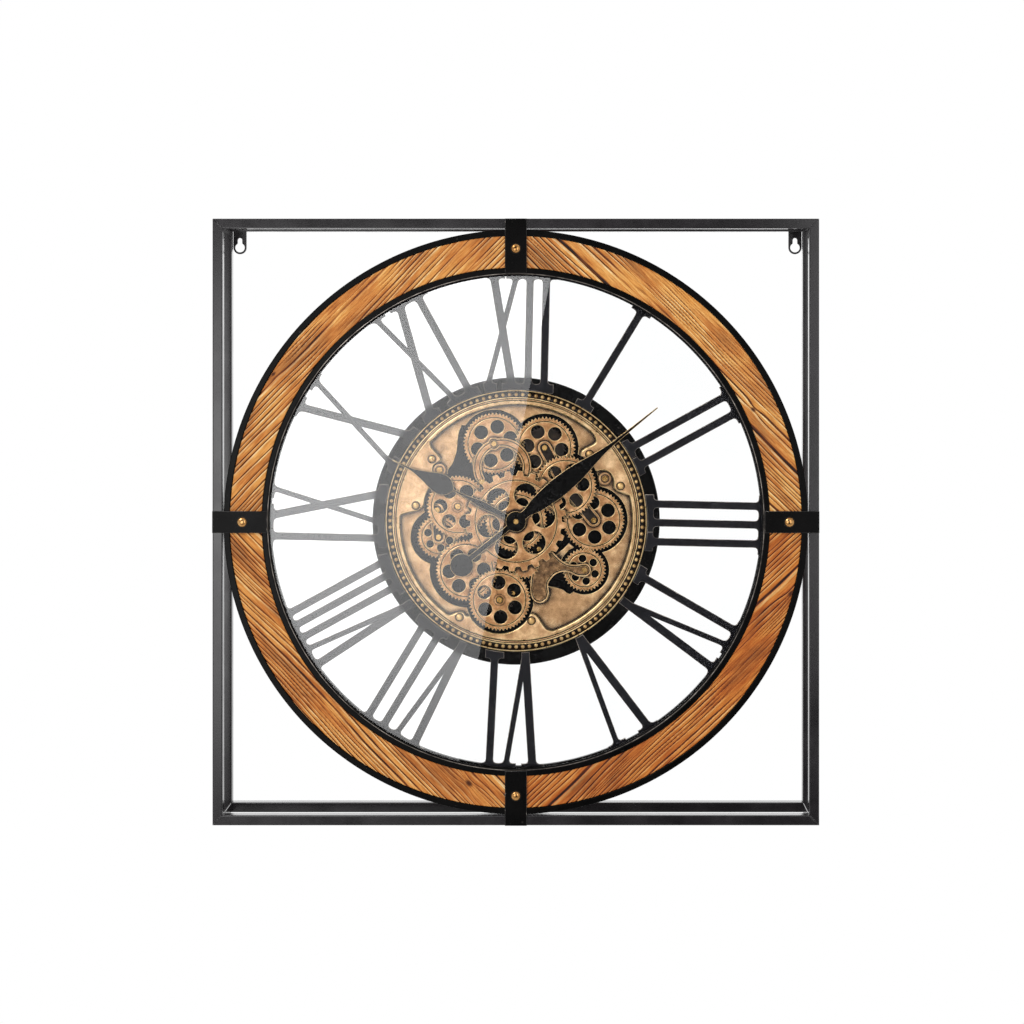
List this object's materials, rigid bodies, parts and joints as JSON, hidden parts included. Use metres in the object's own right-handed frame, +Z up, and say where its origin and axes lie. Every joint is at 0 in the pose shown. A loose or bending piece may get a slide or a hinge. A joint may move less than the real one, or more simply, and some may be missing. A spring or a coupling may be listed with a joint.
{
  "type": "gear wall clock",
  "caption": "Square tube-frame wall clock with a wooden ring, cut-out Roman numerals behind glass and a turning bronze gear train at the dial centre.",
  "frame": {"origin": "on the wall plane, at the rear end of the axis of the hands", "axes": "+Z up, +X to the right of a viewer who faces the dial, the dial looks along -Y"},
  "size_m": [0.6, 0.064, 0.6],
  "materials": {
    "black_steel": "satin black paint",
    "stained_pine": "brushed and stained",
    "copper_bolt": "worn copper tone",
    "clear_glass": "polished",
    "aged_bronze": "aged bronze with dark patina",
    "polished_brass": "polished",
    "black_plastic": "fine texture",
    "cell_sleeve": "plain printed sleeve"
  },
  "bodies": {
    "clock_body": {"bezel_plate": "aged_bronze", "bridge_left": "aged_bronze", "bridge_right": "aged_bronze", "bridge_top": "aged_bronze", "corner_post_bottom_left": "black_steel", "corner_post_bottom_right": "black_steel", "corner_post_top_left": "black_steel", "corner_post_top_right": "black_steel", "dial_disc": "black_steel", "drive_case": "black_plastic", "drive_cell": "cell_sleeve", "front_frame": "black_steel", "glass_pane": "clear_glass", "hanger_left": "black_steel", "hanger_right": "black_steel", "inner_hoop": "black_steel", "movement_case": "black_plastic", "movement_cell": "cell_sleeve", "numeral_1": "black_steel", "numeral_10": "black_steel", "numeral_11": "black_steel", "numeral_12": "black_steel", "numeral_2": "black_steel", "numeral_3": "black_steel", "numeral_4": "black_steel", "numeral_5": "black_steel", "numeral_6": "black_steel", "numeral_7": "black_steel", "numeral_8": "black_steel", "numeral_9": "black_steel", "outer_hoop": "black_steel", "rear_frame": "black_steel", "strap_12": "black_steel", "strap_3": "black_steel", "strap_6": "black_steel", "strap_9": "black_steel", "strap_bolt_12": "copper_bolt", "strap_bolt_3": "copper_bolt", "strap_bolt_6": "copper_bolt", "strap_bolt_9": "copper_bolt", "wood_bottom_left": "stained_pine", "wood_bottom_right": "stained_pine", "wood_top_left": "stained_pine", "wood_top_right": "stained_pine"},
    "minute_hand": {"minute_hand": "black_steel", "hand_nut": "polished_brass"},
    "hour_hand": {"hour_hand": "black_steel"},
    "setting_knob": {"setting_knob": "black_plastic"},
    "drive_switch": {"drive_switch": "black_plastic"},
    "centre_wheel": {"centre_wheel": "aged_bronze"},
    "left_upper_wheel": {"left_upper_wheel": "aged_bronze"},
    "left_lower_wheel": {"left_lower_wheel": "aged_bronze"},
    "right_upper_wheel": {"right_upper_wheel": "aged_bronze"},
    "top_right_wheel": {"top_right_wheel": "aged_bronze"},
    "top_left_wheel": {"top_left_wheel": "aged_bronze"},
    "right_wheel": {"right_wheel": "aged_bronze"},
    "lower_right_wheel": {"lower_right_wheel": "aged_bronze"},
    "drive_pinion": {"drive_pinion": "aged_bronze"},
    "bottom_wheel": {"bottom_wheel": "aged_bronze"},
    "bottom_left_wheel": {"bottom_left_wheel": "aged_bronze"}
  },
  "joints": [
    {"name": "minute_turn", "type": "hinge", "parent": "clock_body", "child": "minute_hand", "pos_m": [0, -0.054, 0], "axis": [0, 1, 0], "continuous": true},
    {"name": "hour_turn", "type": "hinge", "parent": "clock_body", "child": "hour_hand", "pos_m": [0, -0.0525, 0], "axis": [0, 1, 0], "continuous": true},
    {"name": "knob_turn", "type": "hinge", "parent": "clock_body", "child": "setting_knob", "pos_m": [0, -0.018, 0], "axis": [0, 1, 0], "continuous": true},
    {"name": "centre_wheel_turn", "type": "hinge", "parent": "clock_body", "child": "centre_wheel", "pos_m": [0, -0.045, 0], "axis": [0, 1, 0], "continuous": true},
    {"name": "left_upper_wheel_turn", "type": "hinge", "parent": "clock_body", "child": "left_upper_wheel", "pos_m": [-0.05805, -0.045, 0.01437], "axis": [0, 1, 0], "continuous": true},
    {"name": "left_lower_wheel_turn", "type": "hinge", "parent": "clock_body", "child": "left_lower_wheel", "pos_m": [-0.07735, -0.045, -0.01629], "axis": [0, 1, 0], "continuous": true},
    {"name": "right_upper_wheel_turn", "type": "hinge", "parent": "clock_body", "child": "right_upper_wheel", "pos_m": [0.0491, -0.045, 0.03413], "axis": [0, 1, 0], "continuous": true},
    {"name": "top_right_wheel_turn", "type": "hinge", "parent": "clock_body", "child": "top_right_wheel", "pos_m": [0.02825, -0.045, 0.07253], "axis": [0, 1, 0], "continuous": true},
    {"name": "top_left_wheel_turn", "type": "hinge", "parent": "clock_body", "child": "top_left_wheel", "pos_m": [-0.02219, -0.045, 0.0765], "axis": [0, 1, 0], "continuous": true},
    {"name": "right_wheel_turn", "type": "hinge", "parent": "clock_body", "child": "right_wheel", "pos_m": [0.07714, -0.045, 0.0006], "axis": [0, 1, 0], "continuous": true},
    {"name": "lower_right_wheel_turn", "type": "hinge", "parent": "clock_body", "child": "lower_right_wheel", "pos_m": [0.06783, -0.045, -0.04913], "axis": [0, 1, 0], "continuous": true},
    {"name": "drive_pinion_turn", "type": "hinge", "parent": "clock_body", "child": "drive_pinion", "pos_m": [0.00886, -0.045, -0.04279], "axis": [0, 1, 0], "continuous": true},
    {"name": "bottom_wheel_turn", "type": "hinge", "parent": "clock_body", "child": "bottom_wheel", "pos_m": [-0.01645, -0.045, -0.07841], "axis": [0, 1, 0], "continuous": true},
    {"name": "bottom_left_wheel_turn", "type": "hinge", "parent": "clock_body", "child": "bottom_left_wheel", "pos_m": [-0.04943, -0.045, -0.04974], "axis": [0, 1, 0], "continuous": true},
    {"name": "switch_slide", "type": "slide", "parent": "clock_body", "child": "drive_switch", "axis": [1, 0, 0], "range_m": [0, 0.005]}
  ],
  "couplings": [
    {"joint": "hour_turn", "follows": "minute_turn", "ratio": 0.083333},
    {"joint": "knob_turn", "follows": "minute_turn", "ratio": 1},
    {"joint": "left_upper_wheel_turn", "follows": "centre_wheel_turn", "ratio": -1},
    {"joint": "left_lower_wheel_turn", "follows": "centre_wheel_turn", "ratio": 0.75},
    {"joint": "right_upper_wheel_turn", "follows": "centre_wheel_turn", "ratio": -1},
    {"joint": "top_right_wheel_turn", "follows": "centre_wheel_turn", "ratio": 0.46154},
    {"joint": "top_left_wheel_turn", "follows": "centre_wheel_turn", "ratio": -0.31953},
    {"joint": "right_wheel_turn", "follows": "centre_wheel_turn", "ratio": 0.46154},
    {"joint": "lower_right_wheel_turn", "follows": "centre_wheel_turn", "ratio": -0.66667},
    {"joint": "drive_pinion_turn", "follows": "centre_wheel_turn", "ratio": -2.1667},
    {"joint": "bottom_wheel_turn", "follows": "centre_wheel_turn", "ratio": 1},
    {"joint": "bottom_left_wheel_turn", "follows": "centre_wheel_turn", "ratio": -0.46154}
  ]
}
